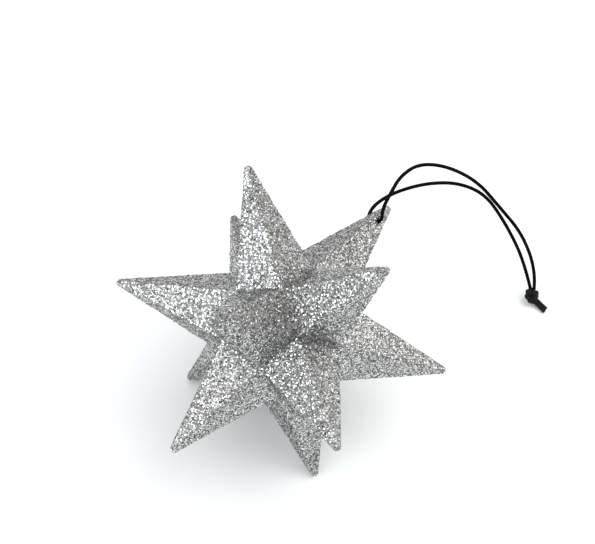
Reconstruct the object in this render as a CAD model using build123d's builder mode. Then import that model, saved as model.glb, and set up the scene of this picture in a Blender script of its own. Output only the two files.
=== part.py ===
from build123d import *
from math import acos, atan, cos, degrees, pi, radians, sin, sqrt, tan
import os

# Twelve-pointed star ornament with a hanging cord, in millimetres, +Z up.
# Twelve hollow five-sided spikes of folded card point at the corners of an
# icosahedron, and each carries a coat of silver glitter. A black waxed cord
# goes through two pierced holes near one tip, and its two strands are knotted
# together into a hanging loop. The star rests on three foot tips, with the
# origin on the table below its centre.

# ---- driving dimensions: star -----------------------------------------------
ridge_apex = 53.0  # star centre to the point where a spike's ridges would meet
blunt_tip = 50.0  # star centre to a spike's blunt tip
dimple = 21.0  # star centre to a dimple, where three spikes meet
star_turn = -11.17  # turn of the first top spike from +X, degrees
coat = 0.4  # glitter and the lacquer that holds it
card = 0.5  # card thickness
sides = 5  # ridges on a spike

seam_tab_depth = 5.0  # tabs glued back to back under each valley seam
seam_tab_margin = 1.2  # from a seam tab's corner to the end of its seam
lap_tab_width = 4.0  # tab that closes a spike's folded blank
lap_tab_start = 0.10  # where the lap tab begins and ends along its ridge
lap_tab_end = 0.70

# ---- driving dimensions: hanging cord ---------------------------------------
pierced_spike = "upper_2"
pierced_height = 43.5  # star centre to the pierced holes, along the spike
pierced_radius = 0.75
pierced_side = -36.0  # the needle passes the spike's axis on this side, degrees
cord_radius = 0.5
knot_length = 4.8
knot_radius = 2.0
knot_flat = 2.0  # from the knot's middle to the flat that the strands enter

# ---- worked out from the driving dimensions ---------------------------------
corner = 360 / sides
polar_top = degrees(acos(sqrt((5 + 2 * sqrt(5)) / 15)))  # icosahedron on a face
polar_upper = degrees(acos(sqrt((5 - 2 * sqrt(5)) / 15)))
ring_height = dimple * cos(radians(polar_top))
ring_radius = dimple * sin(radians(polar_top))
ring_flat = ring_radius * cos(radians(corner / 2))
ring_half_side = ring_radius * sin(radians(corner / 2))
ridge_slope = ring_radius / (ridge_apex - ring_height)
face_tilt = degrees(atan(ring_flat / (ridge_apex - ring_height)))
seam_tilt = degrees(atan(ring_flat / ring_height))
face_length = (ridge_apex - ring_height) / cos(radians(face_tilt))
face_distance = ridge_apex * sin(radians(face_tilt))  # star centre to a face
tip_radius = (ridge_apex - blunt_tip) * ridge_slope
centre_height = blunt_tip * cos(radians(polar_top)) + tip_radius * sin(radians(polar_top))
sector_base = ring_height / 2  # the mitred walls are cut from a block that starts here
cutter_base = sector_base - 1


def spike_plane(polar, turn, ridge_side):
    """Plane at the star's centre, Z along a spike and X towards one of its ridges."""
    axis = Vector(
        sin(radians(polar)) * cos(radians(turn)),
        sin(radians(polar)) * sin(radians(turn)),
        cos(radians(polar)),
    )
    ridge = Vector(0, 0, ridge_side) - axis * (axis.Z * ridge_side)
    return Plane(origin=(0, 0, centre_height), x_dir=ridge.normalized(), z_dir=axis)


def plane_on(base, origin, x_dir, z_dir):
    """Plane given in the coordinates of another plane."""
    start = base.from_local_coords(origin)
    return Plane(
        origin=start,
        x_dir=base.from_local_coords(origin + x_dir) - start,
        z_dir=base.from_local_coords(origin + z_dir) - start,
    )


def scale_at(depth):
    """Size of the spike whose faces lie this deep under the outer ones."""
    return 1 - depth / face_distance


def around(turn, across, along):
    """Point or direction in a spike's own coordinates."""
    return Vector(across * cos(radians(turn)), across * sin(radians(turn)), along)


spikes = {}
for ring, polar, first_turn, ridge_side in (
    ("top", polar_top, star_turn, 1),
    ("upper", polar_upper, star_turn - 60, 1),
    ("lower", 180 - polar_upper, star_turn, -1),
    ("foot", 180 - polar_top, star_turn - 60, -1),
):
    for number in range(3):
        spikes[f"{ring}_{number + 1}"] = spike_plane(polar, first_turn + 120 * number, ridge_side)

# The needle goes in through the middle of one face and out through the middle
# of the next but one, so it passes beside the spike's axis.
face_at_holes = (ridge_apex - pierced_height) * tan(radians(face_tilt))
needle_offset = face_at_holes * cos(radians(corner))
needle_plane = plane_on(
    spikes[pierced_spike],
    around(pierced_side, needle_offset, pierced_height),
    around(pierced_side, 1, 0),
    around(pierced_side + 90, 1, 0),
)

os.makedirs("parts", exist_ok=True)

# ---- the twelve spikes: glitter coat outside, folded card inside --------------
for layer, outside, inside in (("glitter_coat", 0, coat), ("card_spike", coat, coat + card)):
    outer_ring = ring_height * scale_at(outside)
    inner_apex = ridge_apex * scale_at(inside)
    for name, base in spikes.items():
        with BuildPart() as shell:
            # solid spike, from its ring up to the blunt tip
            with BuildSketch(base.offset(outer_ring)):
                RegularPolygon(ring_radius * scale_at(outside), sides)
            extrude(amount=blunt_tip - outside - outer_ring, taper=face_tilt)
            # the wedge of the star below the ring, as far as the seams' mitres need
            with BuildSketch(base.offset(sector_base)):
                RegularPolygon(ring_radius * sector_base / ring_height, sides)
            extrude(amount=outer_ring - sector_base, taper=-seam_tilt)
            # hollow it, which leaves walls with mitred rims
            with BuildSketch(base.offset(cutter_base)):
                RegularPolygon((inner_apex - cutter_base) * ridge_slope, sides)
            extrude(amount=blunt_tip - inside - cutter_base, taper=face_tilt, mode=Mode.SUBTRACT)

            if layer == "card_spike":
                for side in range(sides):
                    turn = corner * (side + 0.5)
                    seam = around(turn, ring_flat, ring_height) * scale_at(outside)
                    seam_half = ring_half_side * scale_at(outside) - seam_tab_margin
                    narrowing = ring_half_side * seam_tab_depth / ring_height
                    inward = around(turn, -cos(radians(seam_tilt)), sin(radians(seam_tilt)))
                    with BuildSketch(plane_on(base, seam, around(turn + 90, 1, 0), inward)):
                        Trapezoid(
                            2 * seam_half,
                            seam_tab_depth,
                            90 - degrees(atan(narrowing / seam_tab_depth)),
                            align=(Align.CENTER, Align.MIN),
                        )
                    extrude(amount=card)
                # the lap tab lies on the inside of one face, along its ridge
                turn = corner / 2
                foot = around(turn, ring_flat, ring_height) * scale_at(inside)
                half = ring_half_side * scale_at(inside)
                slant = face_length * scale_at(inside)
                inward = around(turn, -cos(radians(face_tilt)), -sin(radians(face_tilt)))
                low, high = lap_tab_start, lap_tab_end
                with BuildSketch(plane_on(base, foot, around(turn + 90, 1, 0), inward)):
                    with BuildLine():
                        Polyline(
                            (half * (1 - low), -slant * low),
                            (half * (1 - high), -slant * high),
                            (half * (1 - high) - lap_tab_width / 2, -slant * high),
                            (half * (1 - low) - lap_tab_width, -slant * low),
                            close=True,
                        )
                    make_face()
                extrude(amount=card)

            if name == pierced_spike:
                with BuildSketch(needle_plane):
                    Circle(pierced_radius)
                extrude(amount=2 * face_at_holes, both=True, mode=Mode.SUBTRACT)
        shell.part.label = f"{layer}_{name}"
        export_step(shell.part, f"parts/{layer}_{name}.step")

# ---- the cord: two strands from the holes to the knot -------------------------
# Each strand starts in the middle of the pierced spike, leaves its own hole,
# arches through the air and comes down to the knot, which lies on the table.
front_route = [
    (27.68, 32.39, 49.19),
    (29.8, 30.0, 51.4),
    (30.0, 33.3, 54.0),
    (32.5, 38.0, 55.4),
    (35.6, 43.9, 56.2),
    (41.5, 49.8, 54.6),
    (50.5, 52.9, 49.2),
    (60.5, 52.9, 41.2),
    (68.2, 49.9, 31.3),
    (75.5, 46.4, 21.5),
    (79.90, 39.95, 10.37),
    (80.74, 36.80, 4.17),
]
back_route = [
    (27.68, 32.39, 49.19),
    (25.6, 34.8, 46.9),
    (27.3, 38.0, 48.4),
    (31.0, 41.3, 48.6),
    (36.5, 44.9, 47.8),
    (45.0, 48.9, 45.8),
    (54.5, 51.8, 41.9),
    (63.2, 52.2, 35.4),
    (69.3, 49.0, 26.6),
    (74.8, 44.5, 17.0),
    (78.82, 39.95, 10.23),
    (79.66, 36.80, 4.03),
]


def corner_radii(route):
    """The largest arc at each corner: 0.45 of the shorter run over tan of half the turn."""
    radii = []
    for before, here, after in zip(route, route[1:], route[2:]):
        run_in = Vector(here) - Vector(before)
        run_out = Vector(after) - Vector(here)
        half_turn = radians(run_in.get_angle(run_out)) / 2
        radii.append(0.45 * min(run_in.length, run_out.length) / tan(half_turn))
    return radii


for name, route in (("cord_front_strand", front_route), ("cord_back_strand", back_route)):
    radii = corner_radii(route)
    with BuildPart() as strand:
        with BuildLine() as centreline:
            FilletPolyline(*route, radius=radii)
        with BuildSketch(Plane(origin=centreline.line @ 0, z_dir=centreline.line % 0)):
            Circle(cord_radius)
        sweep()
    length = centreline.wire().length
    section_length = pi * cord_radius**2 * length
    print(name, "length", round(length, 1), "radii", [round(r, 1) for r in radii])
    print(name, "volume", round(strand.part.volume, 2), "section x length", round(section_length, 2))
    strand.part.label = name
    export_step(strand.part, f"parts/{name}.step")

# The knot lies on the table. Its axis follows the strands' last runs, which
# meet the flat at its upper end.
front_end = Vector(front_route[-1])
back_end = Vector(back_route[-1])
knot_axis = (Vector(front_route[-2]) - front_end).normalized()
knot_top = (front_end + back_end) * 0.5
knot_plane = Plane(origin=knot_top - knot_axis * knot_flat, x_dir=front_end - back_end, z_dir=knot_axis)
flat_radius = knot_radius * sqrt(1 - (knot_flat / (knot_length / 2)) ** 2)

with BuildPart() as knot:
    with BuildSketch(Plane(origin=knot_plane.origin, x_dir=knot_plane.x_dir, z_dir=-knot_plane.y_dir)):
        Ellipse(knot_radius, knot_length / 2)
        with Locations((-knot_radius, 0)):
            Rectangle(2 * knot_radius, 2 * knot_length, mode=Mode.SUBTRACT)
        with Locations((0, knot_flat)):
            Rectangle(
                4 * knot_radius,
                knot_length,
                align=(Align.CENTER, Align.MIN),
                mode=Mode.SUBTRACT,
            )
    revolve(axis=Axis(knot_plane.origin, knot_plane.z_dir))
print("knot bottom", round(knot.part.bounding_box().min.Z, 3), "flat radius", round(flat_radius, 2))
knot.part.label = "loop_knot"
export_step(knot.part, "parts/loop_knot.step")

# two cut tails, side by side on the table
for name, start, end in (
    ("cord_tail_1", (81.8, 34.7, 1.6), (84.8, 31.8, 0.55)),
    ("cord_tail_2", (80.9, 34.0, 1.5), (83.7, 30.0, 0.55)),
):
    along = Vector(end) - Vector(start)
    with BuildPart() as tail:
        with BuildSketch(Plane(origin=start, z_dir=along)):
            Circle(cord_radius)
        extrude(amount=along.length)
    tail.part.label = name
    export_step(tail.part, f"parts/{name}.step")

print("needle", needle_plane.origin, needle_plane.z_dir)
print("centre height", round(centre_height, 3))
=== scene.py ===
"""Glittered card star with a hanging cord, on a white table under soft studio light."""

import math
import random

import bmesh
import bpy
import numpy as np
from mathutils import Matrix, Vector, noise


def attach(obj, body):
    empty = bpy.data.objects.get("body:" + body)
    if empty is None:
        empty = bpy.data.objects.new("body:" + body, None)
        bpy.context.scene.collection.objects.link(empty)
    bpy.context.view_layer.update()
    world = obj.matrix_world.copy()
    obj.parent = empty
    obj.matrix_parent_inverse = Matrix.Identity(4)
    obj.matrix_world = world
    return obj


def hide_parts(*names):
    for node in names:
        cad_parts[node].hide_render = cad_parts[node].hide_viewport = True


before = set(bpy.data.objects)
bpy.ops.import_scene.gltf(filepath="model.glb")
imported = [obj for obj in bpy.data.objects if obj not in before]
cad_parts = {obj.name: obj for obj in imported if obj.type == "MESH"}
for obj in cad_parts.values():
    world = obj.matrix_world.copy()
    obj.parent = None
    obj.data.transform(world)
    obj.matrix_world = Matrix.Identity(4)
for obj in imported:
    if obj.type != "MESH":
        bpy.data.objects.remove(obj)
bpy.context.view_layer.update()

bl_info = {
    "name": "Glitter star",
    "version": (1, 0, 0),
    "blender": (4, 5, 0),
    "location": "View3D > Sidebar > Glitter star",
    "description": "Builds a glittered card star with a waxed hanging cord around its packed frame",
    "category": "Add Mesh",
}

MM = 0.001
SIDES = 5
CORNER = 2 * math.pi / SIDES
STAR_BODY = "star"
HANGER_BODY = "hanger"
PIERCED_SPIKE = "upper_2"
# polar angles of an icosahedron that stands on a face
TOP_POLAR = math.acos(math.sqrt((5 + 2 * math.sqrt(5)) / 15))
UPPER_POLAR = math.acos(math.sqrt((5 - 2 * math.sqrt(5)) / 15))

# The needle's line through the pierced spike, and half the way between its holes.
NEEDLE_MIDDLE = Vector((27.6752, 32.3911, 49.195)) * MM
NEEDLE_LINE = Vector((0.536409, -0.615575, 0.57735))
HALF_CHORD = 2.566 * MM

# Routes of the two strands, in millimetres: spline control points.
FRONT_ROUTE = [
    (27.68, 32.39, 49.19),
    (29.8, 30.0, 51.4),
    (30.0, 33.3, 54.0),
    (32.5, 38.0, 55.4),
    (35.6, 43.9, 56.2),
    (41.5, 49.8, 54.6),
    (50.5, 52.9, 49.2),
    (60.5, 52.9, 41.2),
    (68.2, 49.9, 31.3),
    (76.0, 46.4, 21.5),
    (80.90, 39.95, 10.37),
    (80.74, 36.80, 4.17),
]
BACK_ROUTE = [
    (27.68, 32.39, 49.19),
    (25.6, 34.8, 46.9),
    (27.3, 38.0, 48.4),
    (31.0, 41.3, 48.6),
    (36.5, 44.9, 47.8),
    (45.0, 48.9, 45.8),
    (54.5, 51.8, 41.9),
    (63.2, 52.2, 35.4),
    (69.3, 49.0, 26.6),
    (74.8, 44.5, 17.0),
    (77.80, 39.95, 10.23),
    (79.66, 36.80, 4.03),
]
# The two cut tails, in millimetres: where each leaves the knot, and its end.
TAILS = [
    ((81.55, 34.60, 1.5), (84.65, 31.55, 0.66)),
    ((80.80, 33.90, 1.4), (83.98, 30.45, 0.66)),
]

# The spikes are folded by hand, and these came out a little longer.
LONGER_TIPS = {"top_2": 1.2 * MM, "upper_3": 1.0 * MM, "lower_1": 0.4 * MM}

# Noise scales of the card's slow waves and the coat's short ripples, per metre.
WAVE_SCALE = 170
RIPPLE_SCALE = 430
POINT_SHIFT = 0.22  # how far a crust point may move along its face, in facets
FLAKE_DEPTH = 0.10 * MM
FLAKE_STANDING_OUT = 0.05 * MM

CORD_CORNERS = 24
CORD_YARNS = 7
KNOT_STEP = 0.16  # between two rings of the knot or a tail, in millimetres
STRAND_STEP = 0.25 * MM  # between two rings of a long strand

CAMERA_PLACE = (0.00442, -0.31731, 0.54986)
CAMERA_ELEVATION = math.radians(56.53)
TABLE_HALF = 4.0


# ---- settings --------------------------------------------------------------------


def length_setting(name, description, default):
    """A length in metres."""
    return bpy.props.FloatProperty(
        name=name, description=description, default=default, unit="LENGTH"
    )


def angle_setting(name, description, default):
    """An angle in radians."""
    return bpy.props.FloatProperty(
        name=name, description=description, default=default, unit="ROTATION"
    )


def power_setting(name, description, default):
    """A light's power in watts."""
    return bpy.props.FloatProperty(
        name=name, description=description, default=default, subtype="POWER"
    )


def colour_setting(name, description, default):
    """A colour as three linear channels."""
    return bpy.props.FloatVectorProperty(
        name=name, description=description, default=default, subtype="COLOR", size=3
    )


class StarSizes(bpy.types.PropertyGroup):
    """Sizes of the folded star."""

    ridge_apex: length_setting(
        "Ridge apex",
        "From the star's centre to the point where a spike's ridges would meet",
        0.053,
    )
    blunt_tip: length_setting("Blunt tip", "From the star's centre to a spike's blunt tip", 0.050)
    dimple: length_setting(
        "Dimple", "From the star's centre to a dimple where three spikes meet", 0.021
    )
    centre_height: length_setting(
        "Centre height",
        "From the table to the star's centre, when it stands on three foot tips",
        0.040372,
    )
    turn: angle_setting("Turn", "Turn of the first top spike from +X", math.radians(-11.17))


class CrustSettings(bpy.types.PropertyGroup):
    """The lacquered glitter crust on a spike."""

    facet: length_setting("Facet", "Width of the crust's small facets", 0.00042)
    roughness: length_setting(
        "Unevenness",
        "How far the crust's points stand in or out of the spike's flat faces",
        0.00007,
    )
    wave: length_setting("Wave", "Height of the card's slow waves", 0.00012)
    ripple: length_setting("Ripple", "Height of the coat's short ripples", 0.00009)
    ridge_round: length_setting(
        "Ridge rounding", "Radius that the coat gives a folded ridge", 0.00045
    )
    depth: length_setting("Depth", "From the crust's outside to its inner skin", 0.0003)
    hole_radius: length_setting("Hole radius", "Radius of the two pierced holes", 0.00083)
    colour: colour_setting("Crust colour", "Colour of the silver crust", (0.46, 0.46, 0.45))


class FlakeSettings(bpy.types.PropertyGroup):
    """The loose-lying flakes on top of the crust."""

    width: length_setting("Flake width", "Across a flake's corners", 0.00046)
    spacing: length_setting("Spacing", "Least distance between two flakes", 0.00031)
    density: bpy.props.FloatProperty(
        name="Density",
        description="Flakes tried on a square metre",
        default=9.0e6,
    )
    tilt: angle_setting("Tilt", "Furthest that a flake leans out of the surface", math.radians(12))
    colour: colour_setting("Flake colour", "Colour of the brightest flakes", (0.80, 0.81, 0.82))


class CordSettings(bpy.types.PropertyGroup):
    """The waxed hanging cord."""

    diameter: length_setting("Diameter", "Thickness of the cord", 0.001)
    front_length: length_setting(
        "Front strand", "Length of the strand from the front hole to the knot", 0.0965
    )
    back_length: length_setting(
        "Back strand", "Length of the strand from the back hole to the knot", 0.088
    )
    lay_length: length_setting("Lay", "Length in which the cord's yarns turn once", 0.0042)
    colour: colour_setting("Cord colour", "Colour of the waxed cotton", (0.0022, 0.0022, 0.0024))
    # painted sheen: a lighter copy of the cord colour for the knot and its tails, standing in for
    # the faint highlights on the knot's bumps
    painted_sheen_colour: colour_setting(
        "Painted sheen colour",
        "Colour of the cord at the knot, where the cord is made lighter as painted sheen",
        (0.013, 0.013, 0.0138),
    )


class KnotSettings(bpy.types.PropertyGroup):
    """The knot tied in both strands together."""

    tight_length: length_setting(
        "Tight length", "Length of each strand inside the tightened knot", 0.0203
    )
    spin: angle_setting(
        "Spin", "Turn of the knot around the line from its strands to its tails", 4.5
    )
    steps: bpy.props.IntProperty(
        name="Steps",
        description="Number of small pulls in which the loose knot is tightened",
        default=700,
    )


class StudioSettings(bpy.types.PropertyGroup):
    """Table, lights and camera."""

    room_strength: bpy.props.FloatProperty(
        name="Room light",
        description="Strength of the light that comes from everywhere",
        default=0.52,
    )
    top_power: power_setting("Top light", "Power of the large light above the table", 36.0)
    back_power: power_setting(
        "Back light", "Power of the softbox at the right, which only shades the table", 10.0
    )
    rear_power: power_setting(
        "Rear light", "Power of the pale wall behind, which only glints on the flakes", 8.5
    )
    fill_power: power_setting(
        "Fill light", "Power of the pale wall at the left, which only lights the table", 10.0
    )
    window_power: power_setting(
        "Window light",
        "Power of the light at the front left, which only glints on the flakes",
        7.0,
    )
    lens: bpy.props.FloatProperty(
        name="Lens",
        description="Focal length on a 36 mm wide sensor, in millimetres",
        default=121.97,
    )
    table_colour: colour_setting("Table colour", "Colour of the table", (0.86, 0.89, 0.905))


# ---- materials -------------------------------------------------------------------


def material_nodes(name):
    """A new material with its node tree, the tree's link function and its shader."""
    material = bpy.data.materials.new(name)
    material.use_nodes = True
    tree = material.node_tree
    shader = next(n for n in tree.nodes if n.type == "BSDF_PRINCIPLED")
    return material, tree, tree.links.new, shader


def add_node(tree, kind, **values):
    """A shader or geometry node with its settings, and its inputs by name."""
    node = tree.nodes.new(kind)
    for key, value in values.items():
        if key in node.inputs:
            node.inputs[key].default_value = value
        else:
            setattr(node, key, value)
    return node


def colour_ramp(tree, stops, factor):
    """A colour ramp fed by factor. stops are (position, grey or colour)."""
    ramp = add_node(tree, "ShaderNodeValToRGB")
    elements = ramp.color_ramp.elements
    while len(elements) < len(stops):
        elements.new(0.5)
    for element, (position, colour) in zip(elements, stops):
        element.position = position
        if isinstance(colour, float):
            colour = (colour, colour, colour)
        element.color = (*colour, 1)
    tree.links.new(factor, ramp.inputs["Fac"])
    return ramp.outputs["Color"]


def drive_roughness(tree, shader, value, first, last, low=0.0, high=1.0):
    """Roughness from first to last, while value goes from low to high."""
    span = {"From Min": low, "From Max": high, "To Min": first, "To Max": last}
    gloss = add_node(tree, "ShaderNodeMapRange", **span)
    tree.links.new(value, gloss.inputs["Value"])
    tree.links.new(gloss.outputs["Result"], shader.inputs["Roughness"])


def add_bump(tree, shader, height, strength, distance):
    """Small bumps on a surface, as high as the height says."""
    bump = add_node(tree, "ShaderNodeBump", Strength=strength, Distance=distance)
    tree.links.new(height, bump.inputs["Height"])
    tree.links.new(bump.outputs["Normal"], shader.inputs["Normal"])


def scaled(colour, share):
    """A colour made darker by share."""
    return tuple(channel * share for channel in colour)


def crust_material(colour):
    """Small flat flakes bedded in lacquer: each cell has its own lean, grey and gloss."""
    material, tree, link, shader = material_nodes("silver_crust")
    place = add_node(tree, "ShaderNodeTexCoord").outputs["Object"]
    cells = add_node(tree, "ShaderNodeTexVoronoi", Scale=2900.0, Randomness=1.0)
    gaps = add_node(
        tree, "ShaderNodeTexVoronoi", feature="DISTANCE_TO_EDGE", Scale=2900.0, Randomness=1.0
    )
    soiling = add_node(tree, "ShaderNodeTexNoise", Scale=260.0, Detail=3.0)
    for node in (cells, gaps, soiling):
        link(place, node.inputs["Vector"])
    parts = add_node(tree, "ShaderNodeSeparateColor")
    link(cells.outputs["Color"], parts.inputs["Color"])

    # grey of each cell, darker in the gaps between cells and in slow patches
    grey = colour_ramp(
        tree,
        [(0.0, scaled(colour, 0.35)), (0.45, scaled(colour, 0.85)), (1.0, scaled(colour, 1.5))],
        parts.outputs["Red"],
    )
    gap_shade = colour_ramp(tree, [(0.0, 0.12), (0.14, 1.0)], gaps.outputs["Distance"])
    patch_shade = colour_ramp(tree, [(0.35, 0.86), (0.65, 1.0)], soiling.outputs["Fac"])
    in_gaps = add_node(tree, "ShaderNodeMix", data_type="RGBA", blend_type="MULTIPLY")
    in_patches = add_node(tree, "ShaderNodeMix", data_type="RGBA", blend_type="MULTIPLY")
    for mix, first, second in (
        (in_gaps, grey, gap_shade),
        (in_patches, in_gaps.outputs[2], patch_shade),
    ):
        mix.inputs[0].default_value = 1.0
        link(first, mix.inputs[6])
        link(second, mix.inputs[7])
    link(in_patches.outputs[2], shader.inputs["Base Color"])

    drive_roughness(tree, shader, parts.outputs["Green"], 0.18, 0.42)

    # each cell leans its own way
    centred = add_node(tree, "ShaderNodeVectorMath", operation="SUBTRACT")
    centred.inputs[1].default_value = (0.5, 0.5, 0.5)
    lean = add_node(tree, "ShaderNodeVectorMath", operation="SCALE", Scale=0.48)
    surface = add_node(tree, "ShaderNodeNewGeometry")
    added = add_node(tree, "ShaderNodeVectorMath", operation="ADD")
    unit = add_node(tree, "ShaderNodeVectorMath", operation="NORMALIZE")
    link(cells.outputs["Color"], centred.inputs[0])
    link(centred.outputs["Vector"], lean.inputs[0])
    link(surface.outputs["Normal"], added.inputs[0])
    link(lean.outputs["Vector"], added.inputs[1])
    link(added.outputs["Vector"], unit.inputs[0])
    link(unit.outputs["Vector"], shader.inputs["Normal"])
    shader.inputs["Metallic"].default_value = 0.9
    return material


def flake_material(colour):
    """Cut metallised film: each flake has its own grey and gloss."""
    material, tree, link, shader = material_nodes("silver_flakes")
    tint = add_node(tree, "ShaderNodeAttribute", attribute_name="flake_tint")
    film = colour_ramp(
        tree,
        [
            (0.0, scaled(colour, 0.03)),
            (0.25, scaled(colour, 0.34)),
            (0.50, scaled(colour, 0.80)),
            (1.0, scaled(colour, 1.14)),
        ],
        tint.outputs["Fac"],
    )
    link(film, shader.inputs["Base Color"])
    drive_roughness(tree, shader, tint.outputs["Fac"], 0.30, 0.14)
    shader.inputs["Metallic"].default_value = 1.0
    return material


def card_material():
    """Uncoated card with pale fibres."""
    material, tree, link, shader = material_nodes("uncoated_card")
    place = add_node(tree, "ShaderNodeTexCoord").outputs["Object"]
    stretch = add_node(tree, "ShaderNodeMapping")
    stretch.inputs["Scale"].default_value = (1.0, 1.0, 3.0)
    link(place, stretch.inputs["Vector"])
    fibres = add_node(tree, "ShaderNodeTexNoise", Scale=1500.0, Detail=6.0, Roughness=0.7)
    link(stretch.outputs["Vector"], fibres.inputs["Vector"])
    tone = colour_ramp(
        tree, [(0.3, (0.62, 0.58, 0.51)), (0.7, (0.76, 0.73, 0.67))], fibres.outputs["Fac"]
    )
    link(tone, shader.inputs["Base Color"])
    add_bump(tree, shader, fibres.outputs["Fac"], 0.35, 0.05 * MM)
    shader.inputs["Roughness"].default_value = 0.85
    return material


def cord_material(name, colour):
    """Black waxed cotton: fine yarns with a thin uneven film of wax."""
    material, tree, link, shader = material_nodes(name)
    place = add_node(tree, "ShaderNodeTexCoord").outputs["Object"]
    fibres = add_node(tree, "ShaderNodeTexNoise", Scale=6000.0, Detail=4.0, Roughness=0.65)
    wax = add_node(tree, "ShaderNodeTexNoise", Scale=900.0, Detail=2.0)
    for node in (fibres, wax):
        link(place, node.inputs["Vector"])
    tone = colour_ramp(
        tree, [(0.35, scaled(colour, 0.7)), (0.70, scaled(colour, 1.9))], fibres.outputs["Fac"]
    )
    link(tone, shader.inputs["Base Color"])
    drive_roughness(tree, shader, wax.outputs["Fac"], 0.36, 0.60, low=0.35, high=0.65)
    add_bump(tree, shader, fibres.outputs["Fac"], 0.5, 0.03 * MM)
    shader.inputs["Specular IOR Level"].default_value = 0.03
    return material


def table_material(colour):
    """Smooth matt white table with a trace of grain."""
    material, tree, link, shader = material_nodes("white_table")
    place = add_node(tree, "ShaderNodeTexCoord").outputs["Object"]
    grain = add_node(tree, "ShaderNodeTexNoise", Scale=40.0, Detail=4.0)
    link(place, grain.inputs["Vector"])
    tone = colour_ramp(tree, [(0.0, scaled(colour, 0.985)), (1.0, colour)], grain.outputs["Fac"])
    link(tone, shader.inputs["Base Color"])
    shader.inputs["Roughness"].default_value = 0.8
    shader.inputs["Specular IOR Level"].default_value = 0.2
    return material


# ---- shapes ----------------------------------------------------------------------


def mesh_object(name, points, faces, material):
    """A mesh object at the origin, its faces turned outwards."""
    mesh = bpy.data.meshes.new(name)
    mesh.from_pydata([tuple(p) for p in points], [], faces)
    shape = bmesh.new()
    shape.from_mesh(mesh)
    bmesh.ops.recalc_face_normals(shape, faces=shape.faces[:])
    shape.to_mesh(mesh)
    shape.free()
    mesh.materials.append(material)
    piece = bpy.data.objects.new(name, mesh)
    bpy.context.scene.collection.objects.link(piece)
    return piece


def spike_frames(sizes):
    """For each spike, its name and its X, Y and Z directions; Z points along the spike."""
    third = 2 * math.pi / 3
    frames = {}
    for ring, polar, first_turn, ridge_side in (
        ("top", TOP_POLAR, sizes.turn, 1),
        ("upper", UPPER_POLAR, sizes.turn - third / 2, 1),
        ("lower", math.pi - UPPER_POLAR, sizes.turn, -1),
        ("foot", math.pi - TOP_POLAR, sizes.turn - third / 2, -1),
    ):
        for number in range(3):
            turn = first_turn + third * number
            across = math.sin(polar)
            axis = Vector((across * math.cos(turn), across * math.sin(turn), math.cos(polar)))
            ridge = Vector((0, 0, ridge_side)) - axis * (axis.z * ridge_side)
            ridge.normalize()
            frames[f"{ring}_{number + 1}"] = (ridge, axis.cross(ridge), axis)
    return frames


class SpikeShape:
    """The outer pyramid of a spike, in its own coordinates."""

    def __init__(self, sizes, name):
        longer = LONGER_TIPS.get(name, 0)
        self.apex = sizes.ridge_apex + longer
        self.tip = sizes.blunt_tip + longer
        self.ring_height = sizes.dimple * math.cos(TOP_POLAR)
        self.ring_radius = sizes.dimple * math.sin(TOP_POLAR)
        self.slope = self.ring_radius / (self.apex - self.ring_height)
        self.tip_radius = (self.apex - self.tip) * self.slope
        self.flat = math.cos(CORNER / 2)  # a pentagon's middle radius over its corner radius
        self.face_tilt = math.atan(self.slope * self.flat)
        self.face_distance = self.apex * math.sin(self.face_tilt)
        self.centre_height = sizes.centre_height

    def scale_at(self, depth):
        """Size of the pyramid whose faces lie this deep under the outer ones."""
        return 1 - depth / self.face_distance


def rounded_pentagon(radius, rounding, share):
    """Point and outward direction at a share of the way round a pentagon with round corners."""
    rounding = min(rounding, 0.45 * radius * math.cos(CORNER / 2))
    inner = radius - rounding / math.cos(CORNER / 2)
    edge = 2 * inner * math.sin(CORNER / 2)
    arc = rounding * CORNER
    side, along = divmod(share * SIDES, 1.0)
    along *= edge + arc
    # each side starts in the middle of a corner's arc
    if along < arc / 2:
        corner_turn, normal_turn = side * CORNER, side * CORNER + along / rounding
        foot = Vector((inner * math.cos(corner_turn), inner * math.sin(corner_turn)))
    elif along > edge + arc / 2:
        corner_turn = (side + 1) * CORNER
        normal_turn = corner_turn - (edge + arc - along) / rounding
        foot = Vector((inner * math.cos(corner_turn), inner * math.sin(corner_turn)))
    else:
        step = (along - arc / 2) / edge
        start = Vector((math.cos(side * CORNER), math.sin(side * CORNER))) * inner
        end = Vector((math.cos((side + 1) * CORNER), math.sin((side + 1) * CORNER))) * inner
        foot = start.lerp(end, step)
        normal_turn = (side + 0.5) * CORNER
    normal = Vector((math.cos(normal_turn), math.sin(normal_turn)))
    return foot + normal * rounding, normal


def stitch(lower, upper):
    """Triangles between two closed rows, each a list of (share of the way round, point number)."""
    faces = []
    i = j = 0
    while i < len(lower) or j < len(upper):
        next_lower = lower[i + 1][0] if i + 1 < len(lower) else lower[0][0] + 1
        next_upper = upper[j + 1][0] if j + 1 < len(upper) else upper[0][0] + 1
        a, b = lower[i % len(lower)][1], upper[j % len(upper)][1]
        if j >= len(upper) or (i < len(lower) and next_lower <= next_upper):
            i += 1
            faces.append((a, lower[i % len(lower)][1], b))
        else:
            j += 1
            faces.append((a, upper[j % len(upper)][1], b))
    return faces


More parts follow.
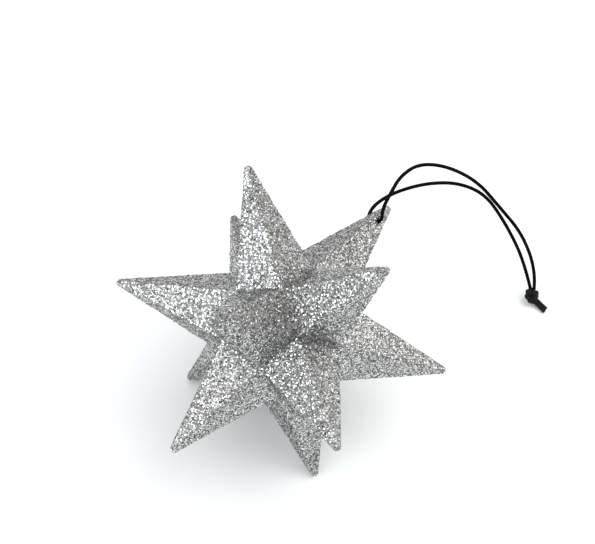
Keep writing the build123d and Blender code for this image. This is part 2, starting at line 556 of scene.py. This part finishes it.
def crust_rows(shape, crust, draw):
    """Rows of (share, radius, height, rounding) from the rim to the dome on the tip."""
    rows = []
    rim = shape.ring_height - 0.12 * MM
    shoulder = shape.tip - 0.75 * MM
    step = crust.facet * 0.88 * math.cos(math.atan(shape.slope))
    count = round((shoulder - rim) / step)
    for row in range(count + 1):
        height = rim + (shoulder - rim) * row / count
        rows.append(((shape.apex - height) * shape.slope, height))
    # the blunt tip: a small dome that starts in line with the faces
    dome = rows[-1][0]
    for turn in (25, 50, 72):
        across = math.cos(math.radians(turn))
        up = math.sin(math.radians(turn))
        rows.append((dome * across, shoulder + (shape.tip - shoulder) * up))
    loops = []
    for number, (radius, height) in enumerate(rows):
        rounding = crust.ridge_round
        if number > count:
            rounding = max(rounding, radius * 0.6)
        around = 2 * SIDES * radius * math.sin(CORNER / 2)
        points = max(SIDES, round(around / crust.facet))
        start = draw.random() / points
        loops.append([(start + k / points, radius, height, rounding) for k in range(points)])
    return loops


def crust_mesh(name, directions, shape, crust, seed, material):
    """The closed glitter crust of one spike, with an uneven outside and a plain inner skin."""
    draw = random.Random(seed)
    x_dir, y_dir, z_dir = directions
    centre = Vector((0, 0, shape.centre_height))
    lean = math.cos(shape.face_tilt), math.sin(shape.face_tilt)
    points, faces = [], []

    def place(across_x, across_y, along):
        return centre + x_dir * across_x + y_dir * across_y + z_dir * along

    loops = []
    all_rows = crust_rows(shape, crust, draw)
    for number, row in enumerate(all_rows):
        loop = []
        on_rim = number == 0
        for share, radius, height, rounding in row:
            spread = 0 if on_rim else draw.uniform(-POINT_SHIFT, POINT_SHIFT) / len(row)
            flat, normal = rounded_pentagon(radius, rounding, (share + spread) % 1.0)
            shift = 0 if on_rim else draw.uniform(-POINT_SHIFT, POINT_SHIFT) * crust.facet
            point = place(flat.x, flat.y, height + shift)
            out = (x_dir * normal.x + y_dir * normal.y) * lean[0] + z_dir * lean[1]
            wave = noise.noise(point * WAVE_SCALE) * crust.wave
            wave += noise.noise(point * RIPPLE_SCALE) * crust.ripple
            lift = draw.uniform(-1, 1) * crust.roughness
            if number > len(all_rows) - 4:
                lift, wave = lift * 0.6, 0
            loop.append((share + spread, len(points)))
            points.append(point + out * (wave + lift - 0.3 * crust.roughness))
        loops.append(loop)
    for lower, upper in zip(loops, loops[1:]):
        faces += stitch(lower, upper)
    summit = len(points)
    points.append(place(0, 0, shape.tip))
    last = [number for share, number in loops[-1]]
    faces += [(a, b, summit) for a, b in zip(last, last[1:] + last[:1])]

    # inner skin: flat faces a little outside the card
    inner = shape.scale_at(crust.depth)
    rings = []
    for radius, height in (
        (shape.ring_radius * inner, shape.ring_height * inner),
        (
            (shape.apex * inner - shape.tip + crust.depth) * shape.slope,
            shape.tip - crust.depth,
        ),
    ):
        ring = []
        for side in range(SIDES):
            ring.append((side / SIDES, len(points)))
            turn = side * CORNER
            points.append(place(radius * math.cos(turn), radius * math.sin(turn), height))
        rings.append(ring)
    faces += stitch(loops[0], rings[0])
    for side in range(SIDES):
        after = (side + 1) % SIDES
        faces.append((rings[0][side][1], rings[0][after][1], rings[1][after][1], rings[1][side][1]))
    faces.append(tuple(number for share, number in rings[1]))
    return mesh_object(name, points, faces, material)


def plain_mesh(piece, name):
    """The piece with its modifiers applied, as a mesh of its own."""
    bpy.context.view_layer.update()
    depsgraph = bpy.context.evaluated_depsgraph_get()
    mesh = bpy.data.meshes.new_from_object(piece.evaluated_get(depsgraph))
    mesh.name = name
    return mesh


def pierce(crust, hole_radius, seed):
    """Cuts the needle's holes through a crust, slightly ragged as paper tears."""
    draw = random.Random(seed)
    side = NEEDLE_LINE.orthogonal().normalized()
    other = NEEDLE_LINE.cross(side)
    corners = 18
    points, faces = [], []
    for end in (-2.2, 2.2):  # well past both holes
        for corner in range(corners):
            turn = 2 * math.pi * corner / corners
            radius = hole_radius * draw.uniform(0.93, 1.06)
            points.append(
                NEEDLE_MIDDLE
                + NEEDLE_LINE * HALF_CHORD * end
                + (side * math.cos(turn) + other * math.sin(turn)) * radius
            )
    for corner in range(corners):
        after = (corner + 1) % corners
        faces.append((corner, after, corners + after, corners + corner))
    faces.append(tuple(range(corners)))
    faces.append(tuple(range(corners, 2 * corners)))
    needle = mesh_object("needle", points, faces, crust.data.materials[0])
    cut = crust.modifiers.new("pierced", "BOOLEAN")
    cut.operation = "DIFFERENCE"
    cut.solver = "EXACT"
    cut.object = needle
    mesh = plain_mesh(crust, crust.name)
    crust.modifiers.remove(cut)
    crust.data = mesh
    bpy.data.objects.remove(needle)


def flake_tree(material):
    """Geometry nodes that strew hexagonal flakes over a surface."""
    tree = bpy.data.node_groups.new("loose_flakes", "GeometryNodeTree")
    sockets = {}
    lengths = ("Flake width", "Flake depth", "Standing out", "Spacing")
    kinds = {"Surface": "Geometry", "Seed": "Int"}
    for label in ("Surface", *lengths, "Density", "Tilt", "Seed"):
        kind = "NodeSocket" + kinds.get(label, "Float")
        socket = tree.interface.new_socket(name=label, in_out="INPUT", socket_type=kind)
        sockets[label] = socket.identifier
    tree.interface.new_socket(name="Flakes", in_out="OUTPUT", socket_type="NodeSocketGeometry")
    given = add_node(tree, "NodeGroupInput").outputs
    link = tree.links.new

    strewn = add_node(tree, "GeometryNodeDistributePointsOnFaces", distribute_method="POISSON")
    link(given["Surface"], strewn.inputs["Mesh"])
    link(given["Spacing"], strewn.inputs["Distance Min"])
    link(given["Density"], strewn.inputs["Density Max"])
    link(given["Seed"], strewn.inputs["Seed"])

    # one flake: a hexagon with its pointed underside in the lacquer
    half = add_node(tree, "ShaderNodeMath", operation="MULTIPLY")
    half.inputs[1].default_value = 0.5
    link(given["Flake width"], half.inputs[0])
    flake = add_node(tree, "GeometryNodeMeshCone", fill_type="NGON")
    flake.inputs["Vertices"].default_value = 6
    flake.inputs["Radius Bottom"].default_value = 0.0
    link(half.outputs[0], flake.inputs["Radius Top"])
    link(given["Flake depth"], flake.inputs["Depth"])
    sink = add_node(tree, "ShaderNodeMath", operation="SUBTRACT")
    link(given["Standing out"], sink.inputs[0])
    link(given["Flake depth"], sink.inputs[1])
    offset = add_node(tree, "ShaderNodeCombineXYZ")
    link(sink.outputs[0], offset.inputs["Z"])
    bedded = add_node(tree, "GeometryNodeTransform")
    link(flake.outputs["Mesh"], bedded.inputs["Geometry"])
    link(offset.outputs["Vector"], bedded.inputs["Translation"])

    # its own lean, spin and size
    lowest = add_node(tree, "ShaderNodeMath", operation="MULTIPLY")
    lowest.inputs[1].default_value = -1.0
    link(given["Tilt"], lowest.inputs[0])
    least, most = (add_node(tree, "ShaderNodeCombineXYZ") for end in range(2))
    most.inputs["Z"].default_value = 2 * math.pi
    for axis in ("X", "Y"):
        link(lowest.outputs[0], least.inputs[axis])
        link(given["Tilt"], most.inputs[axis])
    turn = add_node(tree, "FunctionNodeRandomValue", data_type="FLOAT_VECTOR")
    link(least.outputs["Vector"], turn.inputs[0])
    link(most.outputs["Vector"], turn.inputs[1])
    link(given["Seed"], turn.inputs["Seed"])
    as_rotation = add_node(tree, "FunctionNodeEulerToRotation")
    link(turn.outputs[0], as_rotation.inputs[0])
    turned = add_node(tree, "FunctionNodeRotateRotation", rotation_space="LOCAL")
    link(strewn.outputs["Rotation"], turned.inputs[0])
    link(as_rotation.outputs[0], turned.inputs[1])
    size = add_node(tree, "FunctionNodeRandomValue", data_type="FLOAT")
    size.inputs[2].default_value = 0.72
    size.inputs[3].default_value = 1.12
    link(given["Seed"], size.inputs["Seed"])

    laid = add_node(tree, "GeometryNodeInstanceOnPoints")
    link(strewn.outputs["Points"], laid.inputs["Points"])
    link(bedded.outputs["Geometry"], laid.inputs["Instance"])
    link(turned.outputs[0], laid.inputs["Rotation"])
    link(size.outputs[1], laid.inputs["Scale"])
    grey = add_node(tree, "FunctionNodeRandomValue", data_type="FLOAT")
    shifted = add_node(tree, "ShaderNodeMath", operation="ADD")
    shifted.inputs[1].default_value = 100.0
    link(given["Seed"], shifted.inputs[0])
    link(shifted.outputs[0], grey.inputs["Seed"])
    tinted = add_node(
        tree, "GeometryNodeStoreNamedAttribute", data_type="FLOAT", domain="INSTANCE"
    )
    tinted.inputs["Name"].default_value = "flake_tint"
    link(laid.outputs["Instances"], tinted.inputs["Geometry"])
    link(grey.outputs[1], tinted.inputs["Value"])
    real = add_node(tree, "GeometryNodeRealizeInstances")
    link(tinted.outputs["Geometry"], real.inputs["Geometry"])
    flat = add_node(tree, "GeometryNodeSetShadeSmooth")
    flat.inputs["Shade Smooth"].default_value = False
    link(real.outputs["Geometry"], flat.inputs["Geometry"])
    finish = add_node(tree, "GeometryNodeSetMaterial")
    finish.inputs["Material"].default_value = material
    link(flat.outputs["Geometry"], finish.inputs["Geometry"])
    result = add_node(tree, "NodeGroupOutput")
    link(finish.outputs["Geometry"], result.inputs[0])
    return tree, sockets


def outer_skin(crust, directions, shape):
    """A throwaway surface with only the crust's outer faces, for strewing flakes on."""
    mesh = crust.data.copy()
    skin = bmesh.new()
    skin.from_mesh(mesh)
    centre = Vector((0, 0, shape.centre_height))
    buried = []
    for face in skin.faces:
        middle = face.calc_center_median() - centre
        x, y, z = (middle.dot(direction) for direction in directions)
        turn = math.atan2(y, x) % CORNER - CORNER / 2
        flat_radius = math.hypot(x, y) * math.cos(turn)
        depth = ((shape.apex - z) * shape.slope * shape.flat - flat_radius) * math.cos(
            shape.face_tilt
        )
        on_tip = z > shape.tip - 0.2 * MM
        below = z < shape.ring_height - 0.05 * MM
        away = face.normal.dot(middle) < 0
        if below or away or (depth > 0.22 * MM and not on_tip) or face.calc_area() > 1e-6:
            buried.append(face)
    bmesh.ops.delete(skin, geom=buried, context="FACES")
    skin.to_mesh(mesh)
    skin.free()
    piece = bpy.data.objects.new("strewing_surface", mesh)
    bpy.context.scene.collection.objects.link(piece)
    return piece


def spline_curve(name, route):
    """A curve of one open smooth spline whose control points are the route, in millimetres."""
    curve = bpy.data.curves.new(name, "CURVE")
    curve.dimensions = "3D"
    spline = curve.splines.new("NURBS")
    spline.points.add(len(route) - 1)
    for point, place in zip(spline.points, route):
        point.co = (*(Vector(place) * MM), 1)
    spline.order_u = 3
    spline.use_endpoint_u = True
    spline.resolution_u = 24
    piece = bpy.data.objects.new(name, curve)
    bpy.context.scene.collection.objects.link(piece)
    return piece


def points_along(route, step):
    """Evenly spaced points read from the route's smooth spline."""
    guide = spline_curve("guide", route)
    mesh = plain_mesh(guide, "guide")
    path = np.array([tuple(v.co) for v in mesh.vertices])
    bpy.data.objects.remove(guide)
    return even_points(path, step)


def even_points(path, step):
    """A path's points moved to even steps along it."""
    gaps = np.linalg.norm(np.diff(path, axis=0), axis=1)
    travelled = np.concatenate(([0], np.cumsum(gaps)))
    count = max(2, round(travelled[-1] / step))
    wanted = np.linspace(0, travelled[-1], count + 1)
    return np.stack([np.interp(wanted, travelled, path[:, axis]) for axis in range(3)], axis=1)


def path_frames(path, side=None):
    """Tangent and two side directions at each point, carried along without twist."""
    tangents = np.gradient(path, axis=0)
    tangents /= np.linalg.norm(tangents, axis=1)[:, None]
    if side is None:
        side = np.cross(tangents[0], [0.0, 0.0, 1.0])
        if np.linalg.norm(side) < 0.1:
            side = np.cross(tangents[0], [0.0, 1.0, 0.0])
    sides = []
    for tangent in tangents:
        side = side - tangent * side.dot(tangent)
        side /= np.linalg.norm(side)
        sides.append(side)
    sides = np.array(sides)
    return tangents, sides, np.cross(tangents, sides)


def cord_shape(path, radius, lay_length, flare):
    """Points and faces of a cord of twisted yarns, in metres. flare widens its cut end."""
    tangents, sides, others = path_frames(path)
    gaps = np.linalg.norm(np.diff(path, axis=0), axis=1)
    travelled = np.concatenate(([0], np.cumsum(gaps)))
    points, faces = [], []
    around = CORD_CORNERS
    turns = np.linspace(0, 2 * math.pi, around, endpoint=False)
    for number, place in enumerate(path):
        twist = 2 * math.pi * travelled[number] / lay_length
        # yarns are round, so their joins are narrow grooves
        groove = 1 - np.abs(np.sin(0.5 * CORD_YARNS * (turns - twist)))
        to_end = travelled[-1] - travelled[number]
        frayed = 1 + flare * max(0.0, 1 - to_end / (2 * radius)) ** 2
        ring = radius * (1.14 - 0.12 * groove**2) * frayed
        offset = (
            sides[number] * np.cos(turns)[:, None] + others[number] * np.sin(turns)[:, None]
        ) * ring[:, None]
        points += list(place + offset)
    rows = len(path)
    for row in range(rows - 1):
        for k in range(around):
            after = (k + 1) % around
            low, high = row * around, (row + 1) * around
            faces.append((low + k, low + after, high + after, high + k))
    for row, outwards in ((0, -1), (rows - 1, 1)):
        middle = len(points)
        points.append(path[row] + tangents[row] * outwards * radius * 0.25)
        for k in range(around):
            after = (k + 1) % around
            faces.append((row * around + k, row * around + after, middle))
    return points, faces


def loose_knot(entry, leave, spin):
    """Centre line of a loose overhand knot between two points, in millimetres."""
    along = entry - leave
    along /= np.linalg.norm(along)
    level = np.array([1.0, 0.0, 0.0])
    level -= along * level.dot(along)
    level /= np.linalg.norm(level)
    out = level * math.cos(spin) + np.cross(along, level) * math.sin(spin)
    half_height, twist_radius, loop_width = 3.6, 1.7, 3.4
    share = np.linspace(0, 1, 60)
    height = half_height * (1 - 2 * share)

    def twisted(start):
        turn = start + 3 * math.pi * share
        return np.stack([twist_radius * np.cos(turn), twist_radius * np.sin(turn), height], 1)

    # one and a half turns down, the loop back up, and one and a half turns down again
    back_up = np.linspace(-math.pi / 2, math.pi / 2, 40)[1:-1]
    outwards = twist_radius + loop_width * np.cos(back_up)
    loop = np.stack([outwards, 0 * back_up, half_height * np.sin(back_up)], 1)
    local = np.concatenate([twisted(math.pi), loop, twisted(0.0)])
    axes = np.stack([out, np.cross(along, out), along])
    return (entry + leave) / 2 + local @ axes


def tightened_knot(entries, entry_ways, ends, end_ways, spin, tight, steps):
    """Paths of both strands through the pulled-tight knot, in millimetres.

    The strands are rows of beads that push each other about a cord diameter apart,
    and get shorter step by step between their fixed ends. A strand can slip through
    itself: with the default settings the front one does, near the end, so in it the
    overhand knot has opened, though the outline stays that of a tight knot.
    """
    count, clearance = 96, 1.0
    entry, leave = entries.mean(axis=0), ends.mean(axis=0)
    lead_in, lead_out = entry - entry_ways.mean(axis=0) * 4, leave + end_ways.mean(axis=0) * 4
    path = np.concatenate([[lead_in], loose_knot(entry, leave, spin), [lead_out]])
    length = np.linalg.norm(np.diff(path, axis=0), axis=1).sum()
    path = even_points(path, length / (count - 1))
    offset = 0.55 * path_frames(path, entries[0] - entries[1])[1]  # half their distance
    beads = np.stack([path + offset, path - offset])
    near_order = np.linalg.norm(beads[:, -1] - ends, axis=1).sum()
    if near_order > np.linalg.norm(beads[:, -1] - ends[::-1], axis=1).sum():
        ends, end_ways = ends[::-1], end_ways[::-1]
    loose_entries, loose_ends = beads[:, 0].copy(), beads[:, -1].copy()
    all_beads = beads.reshape(-1, 3)
    first, second = np.triu_indices(2 * count, 1)
    same_strand = first // count == second // count
    apart = second - first

    for step in range(steps):
        share = min(1.0, step / (0.8 * steps))
        gap = (length + (tight - length) * (1 - (1 - share) ** 1.5)) / (count - 1)
        starts = loose_entries * (1 - share) + entries * share
        stops = loose_ends * (1 - share) + ends * share
        beads[:, 0], beads[:, 1] = starts, starts + entry_ways * gap
        beads[:, -1], beads[:, -2] = stops, stops - end_ways * gap
        beads[:, 2:-2] += 0.12 * (beads[:, 1:-3] + beads[:, 3:-1] - 2 * beads[:, 2:-2])
        if step % 8 == 0:
            free = ~(same_strand & (apart < max(3, math.ceil(1.7 * clearance / gap))))
            one, other = first[free], second[free]
            near = np.linalg.norm(all_beads[other] - all_beads[one], axis=1) < 1.5 * clearance
            one, other = one[near], other[near]
        bend = max(2, round(1.2 / gap))
        bend_width = 1.24 * clearance
        chord = bend_width * math.sin(min(math.pi / 2, bend * gap / bend_width))
        for repeat in range(4):
            push_apart(all_beads, one, other, clearance)
            # no bend tighter than the cord allows, nothing below the table
            reach = beads[:, bend:] - beads[:, :-bend]
            span = np.linalg.norm(reach, axis=2, keepdims=True)
            unbend = reach / np.maximum(span, 1e-6) * np.clip(chord - span, 0, None) * 0.25
            beads[:, :-bend] -= unbend
            beads[:, bend:] += unbend
            all_beads[:, 2] = np.maximum(all_beads[:, 2], 0.6)
            for sweep in range(6):
                for odd in (0, 1):
                    last = odd + 2 * ((count - odd) // 2)
                    here, there = beads[:, odd:last:2], beads[:, odd + 1 : last : 2]
                    reach = there - here
                    span = np.maximum(np.linalg.norm(reach, axis=2, keepdims=True), 1e-6)
                    pull = reach * 0.5 * (1 - gap / span)
                    here += pull
                    there -= pull
            beads[:, 0], beads[:, -1] = starts, stops
    return beads


def push_apart(beads, one, other, clearance):
    """Moves pairs of beads that touch until they just clear each other."""
    between = beads[other] - beads[one]
    distance = np.linalg.norm(between, axis=1)
    close = distance < clearance
    one, other, distance = one[close], other[close], distance[close]
    push = between[close] * (0.5 * (clearance / np.maximum(distance, 1e-6) - 1))[:, None]
    touches = np.bincount(one, minlength=len(beads)) + np.bincount(other, minlength=len(beads))
    for axis in range(3):
        moved = np.bincount(other, push[:, axis], len(beads))
        moved -= np.bincount(one, push[:, axis], len(beads))
        beads[:, axis] += 1.3 * moved / np.maximum(touches, 1)


# ---- operators -------------------------------------------------------------------


class GLITTERSTAR_OT_camera(bpy.types.Operator):
    """Sets up the camera that looks down on the table"""

    bl_idname = "glitter_star.camera"
    bl_label = "Camera"

    def execute(self, context):
        settings = context.scene.star_studio
        right = Vector((1, 0, 0))
        back = Vector((0, -math.cos(CAMERA_ELEVATION), math.sin(CAMERA_ELEVATION)))
        up = back.cross(right)
        data = bpy.data.cameras.new("camera")
        data.lens = settings.lens
        data.sensor_width = 36
        data.sensor_fit = "HORIZONTAL"
        data.clip_start = 0.01
        data.clip_end = 20
        camera = bpy.data.objects.new("camera", data)
        turn = Matrix((right, up, back)).transposed().to_4x4()
        camera.matrix_world = Matrix.Translation(CAMERA_PLACE) @ turn
        context.scene.collection.objects.link(camera)
        context.scene.camera = camera
        return {"FINISHED"}


class GLITTERSTAR_OT_cords(bpy.types.Operator):
    """Ties the knot in the doubled cord, and makes its tails and its two long strands"""

    bl_idname = "glitter_star.cords"
    bl_label = "Cord and knot"

    def execute(self, context):
        settings = context.scene.star_cord
        waxed = cord_material("waxed_cotton", settings.colour)
        # a lighter copy of the cord, painted sheen for the knot's faint highlights, used on the
        # knot and its tails
        painted_sheen_cord = cord_material("waxed_cotton_painted_sheen", settings.painted_sheen_colour)

        def cord_piece(name, node, material, paths, flare=0.0):
            points, faces = [], []
            for path in paths:
                more_points, more_faces = cord_shape(
                    path, settings.diameter / 2, settings.lay_length, flare
                )
                faces += [tuple(len(points) + k for k in face) for face in more_faces]
                points += more_points
            piece = mesh_object(name, points, faces, material)
            piece.data.shade_smooth()
            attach(piece, HANGER_BODY)
            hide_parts(node)
            return piece

        routes = np.array([FRONT_ROUTE[-2:], BACK_ROUTE[-2:]])
        tails = np.array(TAILS)
        ways = [runs[:, 1] - runs[:, 0] for runs in (routes, tails)]
        ways = [way / np.linalg.norm(way, axis=1)[:, None] for way in ways]
        knot = context.scene.star_knot
        tight = knot.tight_length / MM
        beads = tightened_knot(
            routes[:, 1], ways[0], tails[:, 0], ways[1], knot.spin, tight, knot.steps
        )
        paths = [even_points(strand, KNOT_STEP) * MM for strand in beads]
        on_it = [cord_piece("knot", "loop_knot", painted_sheen_cord, paths)]
        for number, ends in enumerate(tails, 1):
            paths = [even_points(ends, KNOT_STEP) * MM]
            on_it.append(
                cord_piece(f"tail_{number}", f"cord_tail_{number}", painted_sheen_cord, paths, flare=0.12)
            )

        for name, node, route, length, side, with_pieces in (
            ("front_strand", "cord_front_strand", FRONT_ROUTE, settings.front_length, 1, on_it),
            ("back_strand", "cord_back_strand", BACK_ROUTE, settings.back_length, -1, []),
        ):
            path = points_along(route, STRAND_STEP)
            strand = cord_piece(name, node, waxed, [path])
        return {"FINISHED"}


class GLITTERSTAR_OT_crusts(bpy.types.Operator):
    """Makes the glitter crust of each spike"""

    bl_idname = "glitter_star.crusts"
    bl_label = "Glitter crusts"

    def execute(self, context):
        sizes, settings = context.scene.star_sizes, context.scene.star_crust
        material = crust_material(settings.colour)
        for seed, (name, directions) in enumerate(spike_frames(sizes).items()):
            shape = SpikeShape(sizes, name)
            crust = crust_mesh(f"crust_{name}", directions, shape, settings, seed, material)
            if name == PIERCED_SPIKE:
                pierce(crust, settings.hole_radius, seed)
            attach(crust, STAR_BODY)
            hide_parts(f"glitter_coat_{name}")
        return {"FINISHED"}


class GLITTERSTAR_OT_flakes(bpy.types.Operator):
    """Strews loose hexagonal flakes over each crust"""

    bl_idname = "glitter_star.flakes"
    bl_label = "Glitter flakes"

    def execute(self, context):
        sizes, settings = context.scene.star_sizes, context.scene.star_flakes
        material = flake_material(settings.colour)
        tree, sockets = flake_tree(material)
        for seed, (name, directions) in enumerate(spike_frames(sizes).items()):
            shape = SpikeShape(sizes, name)
            surface = outer_skin(bpy.data.objects[f"crust_{name}"], directions, shape)
            strewing = surface.modifiers.new("flakes", "NODES")
            strewing.node_group = tree
            for label, value in (
                ("Flake width", settings.width),
                ("Flake depth", FLAKE_DEPTH),
                ("Standing out", FLAKE_STANDING_OUT),
                ("Spacing", settings.spacing),
                ("Density", settings.density),
                ("Tilt", settings.tilt),
                ("Seed", seed + 1),
            ):
                strewing[sockets[label]] = value
            flakes = bpy.data.objects.new(f"flakes_{name}", plain_mesh(surface, f"flakes_{name}"))
            context.scene.collection.objects.link(flakes)
            bpy.data.objects.remove(surface)
            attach(flakes, STAR_BODY)
        return {"FINISHED"}


class GLITTERSTAR_OT_card(bpy.types.Operator):
    """Gives the folded card inside the crusts its fibres"""

    bl_idname = "glitter_star.card"
    bl_label = "Card"

    def execute(self, context):
        material = card_material()
        for name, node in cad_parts.items():
            if name.startswith("card_spike"):
                for slot in node.material_slots:
                    slot.material = material
        return {"FINISHED"}


class GLITTERSTAR_OT_stage(bpy.types.Operator):
    """Makes the table and the soft lights"""

    bl_idname = "glitter_star.stage"
    bl_label = "Table and lights"

    def execute(self, context):
        scene = context.scene
        settings = scene.star_studio
        corners = [
            (x * TABLE_HALF, y * TABLE_HALF, 0) for x, y in ((-1, -1), (1, -1), (1, 1), (-1, 1))
        ]
        white = table_material(settings.table_colour)
        table = mesh_object("table", corners, [(0, 1, 2, 3)], white)
        if table.data.polygons[0].normal.z < 0:
            table.data.flip_normals()

        world = bpy.data.worlds.new("room")
        scene.world = world
        world.use_nodes = True
        sky = world.node_tree.nodes["Background"]
        sky.inputs["Color"].default_value = (1.0, 0.985, 0.95, 1)
        sky.inputs["Strength"].default_value = settings.room_strength

        target = Vector((0.0, 0.0, 0.03))
        for name, turn, height, distance, size, power, colour in (
            ("top_light", 110, 80, 1.7, 3.4, settings.top_power, (1.0, 0.99, 0.97)),
            ("back_light", 100, 58, 1.6, 1.2, settings.back_power, (1.0, 0.99, 0.97)),
            ("rear_light", 140, 28, 1.6, 2.6, settings.rear_power, (1.0, 0.985, 0.94)),
            ("fill_light", -60, 35, 1.5, 2.0, settings.fill_power, (0.92, 0.97, 1.0)),
            ("window_light", -55, 31, 1.3, 0.8, settings.window_power, (0.88, 0.95, 1.0)),
        ):
            azimuth, elevation = math.radians(turn), math.radians(height)
            level = math.cos(elevation)
            x, y = math.sin(azimuth) * level, -math.cos(azimuth) * level
            away = Vector((x, y, math.sin(elevation)))
            data = bpy.data.lights.new(name, "AREA")
            data.shape = "SQUARE"
            data.size = size
            data.energy = power
            data.color = colour
            light = bpy.data.objects.new(name, data)
            light.location = target + away * distance
            light.rotation_euler = away.to_track_quat("Z", "Y").to_euler()
            light.visible_camera = False
            light.visible_diffuse = name in ("top_light", "back_light", "fill_light")
            light.visible_glossy = name not in ("back_light", "fill_light")
            scene.collection.objects.link(light)
        scene.view_settings.view_transform = "Standard"
        scene.view_settings.look = "None"
        return {"FINISHED"}


class GLITTERSTAR_PT_sidebar(bpy.types.Panel):
    """Buttons for the star's pieces, in the order in which they are made"""

    bl_label = "Glitter star"
    bl_idname = "GLITTERSTAR_PT_sidebar"
    bl_space_type = "VIEW_3D"
    bl_region_type = "UI"
    bl_category = "Glitter star"

    def draw(self, context):
        for operator in OPERATORS:
            self.layout.operator(operator.bl_idname)
        for group in SETTINGS:
            box = self.layout.box()
            settings = getattr(context.scene, group)
            for name in settings.bl_rna.properties.keys():
                if name not in ("rna_type", "name"):
                    box.prop(settings, name)


SETTINGS = {
    "star_sizes": StarSizes,
    "star_crust": CrustSettings,
    "star_flakes": FlakeSettings,
    "star_cord": CordSettings,
    "star_knot": KnotSettings,
    "star_studio": StudioSettings,
}
OPERATORS = (
    GLITTERSTAR_OT_camera,
    GLITTERSTAR_OT_cords,
    GLITTERSTAR_OT_crusts,
    GLITTERSTAR_OT_flakes,
    GLITTERSTAR_OT_card,
    GLITTERSTAR_OT_stage,
)


def register():
    for group, kind in SETTINGS.items():
        bpy.utils.register_class(kind)
        setattr(bpy.types.Scene, group, bpy.props.PointerProperty(type=kind))
    for operator in OPERATORS:
        bpy.utils.register_class(operator)
    bpy.utils.register_class(GLITTERSTAR_PT_sidebar)


def unregister():
    bpy.utils.unregister_class(GLITTERSTAR_PT_sidebar)
    for operator in reversed(OPERATORS):
        bpy.utils.unregister_class(operator)
    for group, kind in SETTINGS.items():
        delattr(bpy.types.Scene, group)
        bpy.utils.unregister_class(kind)


def main():
    register()
    for operator in OPERATORS:
        group, name = operator.bl_idname.split(".")
        getattr(getattr(bpy.ops, group), name)()


if __name__ == "__main__":
    main()
